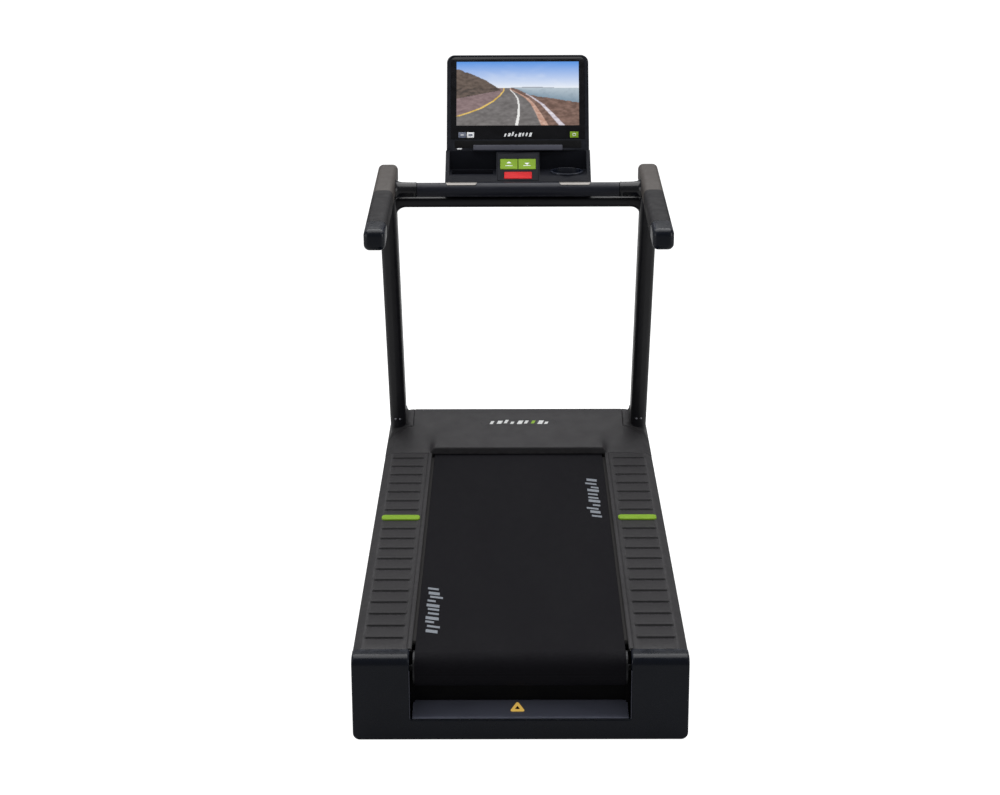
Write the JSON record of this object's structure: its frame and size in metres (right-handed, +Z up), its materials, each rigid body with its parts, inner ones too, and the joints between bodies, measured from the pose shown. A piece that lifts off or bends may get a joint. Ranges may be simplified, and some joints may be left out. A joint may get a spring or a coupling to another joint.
{
  "type": "motorised treadmill",
  "caption": "Gym treadmill with a flat running belt between ribbed side rails, leaning uprights, side handlebars, and a console with a tilted display.",
  "frame": {"origin": "on the floor, centred below the machine's box", "axes": "+Z up, +Y forwards from the tail of the belt to the console, +X to the user's right"},
  "size_m": [0.933, 2.1, 1.6271],
  "materials": {
    "cover": "fine moulded texture, satin grey",
    "rear_cap": "smooth satin navy black",
    "grip_bar": "smooth satin navy",
    "belt": "fine woven running belt",
    "marker": "bright green, satin",
    "frame_steel": "black powder coat",
    "machined_steel": "machined",
    "pulley": "machined",
    "motor": "black enamel",
    "deck_board": "waxed laminated board",
    "rubber": "black rubber",
    "upright": "dark grey powder coat",
    "pulse_plate": "brushed",
    "handlebar": "warm grey, satin",
    "grip": "soft moulded grip",
    "console": "fine moulded texture, black",
    "bezel_glass": "high gloss black",
    "screen": "lit display",
    "green_key": "satin",
    "red_key": "satin"
  },
  "bodies": {
    "base": {"motor_hood": "cover", "hood_corner_left": "cover", "hood_corner_right": "cover", "side_rail_left": "cover", "side_rail_right": "cover", "rear_cap": "rear_cap", "rear_ramp": "rear_cap", "arm_cap_left": "rear_cap", "arm_cap_right": "rear_cap", "cup_holder": "rear_cap", "grip_bar": "grip_bar", "grip_elbow_left": "grip_bar", "grip_elbow_right": "grip_bar", "running_belt": "belt", "rail_marker_left": "marker", "rail_marker_right": "marker", "frame_rail_left": "frame_steel", "frame_rail_right": "frame_steel", "deck_crossmember_rear": "frame_steel", "deck_crossmember_front": "frame_steel", "front_foot_beam": "frame_steel", "rear_foot_beam": "frame_steel", "wheel_fork_left": "frame_steel", "wheel_fork_right": "frame_steel", "motor_cradle": "frame_steel", "rear_shaft": "machined_steel", "motor": "motor", "running_deck": "deck_board", "deck_cushion_rear_left": "rubber", "deck_cushion_rear_right": "rubber", "deck_cushion_front_left": "rubber", "deck_cushion_front_right": "rubber", "drive_belt": "rubber", "upright_left": "upright", "upright_right": "upright", "console_crossmember": "upright", "pulse_plate_left": "pulse_plate", "pulse_plate_right": "pulse_plate", "arm_left": "handlebar", "arm_right": "handlebar", "arm_grip_left": "grip", "arm_grip_right": "grip", "console_base": "console", "keypad_panel": "console", "display_housing": "console", "reading_rack": "console", "power_inlet": "console", "display_bezel": "bezel_glass", "display_screen": "screen"},
    "front_roller": {"front_roller": "machined_steel", "drive_pulley": "pulley"},
    "rear_roller": {"rear_roller": "machined_steel"},
    "motor_rotor": {"motor_pulley": "pulley"},
    "transport_wheel_left": {"transport_wheel_left": "rubber"},
    "transport_wheel_right": {"transport_wheel_right": "rubber"},
    "levelling_foot_left": {"levelling_foot_left": "rubber"},
    "levelling_foot_right": {"levelling_foot_right": "rubber"},
    "key_faster": {"key_faster": "green_key"},
    "key_slower": {"key_slower": "green_key"},
    "key_stop": {"key_stop": "red_key"}
  },
  "joints": [
    {"name": "front_roller_spin", "type": "hinge", "parent": "base", "child": "front_roller", "pos_m": [0, 0.745, 0.195], "axis": [1, 0, 0], "continuous": true},
    {"name": "rear_roller_spin", "type": "hinge", "parent": "base", "child": "rear_roller", "pos_m": [0, -0.992, 0.195], "axis": [1, 0, 0], "continuous": true},
    {"name": "motor_spin", "type": "hinge", "parent": "base", "child": "motor_rotor", "pos_m": [-0.384, 0.925, 0.176], "axis": [1, 0, 0], "continuous": true},
    {"name": "wheel_spin_left", "type": "hinge", "parent": "base", "child": "transport_wheel_left", "pos_m": [-0.425, 0.965, 0.032], "axis": [1, 0, 0], "continuous": true},
    {"name": "wheel_spin_right", "type": "hinge", "parent": "base", "child": "transport_wheel_right", "pos_m": [0.425, 0.965, 0.032], "axis": [1, 0, 0], "continuous": true},
    {"name": "foot_screw_left", "type": "slide", "parent": "base", "child": "levelling_foot_left", "axis": [0, 0, -1], "range_m": [0, 0.015]},
    {"name": "foot_screw_right", "type": "slide", "parent": "base", "child": "levelling_foot_right", "axis": [0, 0, -1], "range_m": [0, 0.015]},
    {"name": "key_faster_press", "type": "slide", "parent": "base", "child": "key_faster", "axis": [0, 0.5033, -0.8641], "range_m": [0, 0.002], "stiffness_N_per_m": 1500, "springref_m": -0.0005},
    {"name": "key_slower_press", "type": "slide", "parent": "base", "child": "key_slower", "axis": [0, 0.5033, -0.8641], "range_m": [0, 0.002], "stiffness_N_per_m": 1500, "springref_m": -0.0005},
    {"name": "key_stop_press", "type": "slide", "parent": "base", "child": "key_stop", "axis": [0, 0.5033, -0.8641], "range_m": [0, 0.002], "stiffness_N_per_m": 1500, "springref_m": -0.0005}
  ],
  "couplings": [
    {"joint": "rear_roller_spin", "follows": "front_roller_spin", "ratio": 1},
    {"joint": "motor_spin", "follows": "front_roller_spin", "ratio": 1.875}
  ]
}
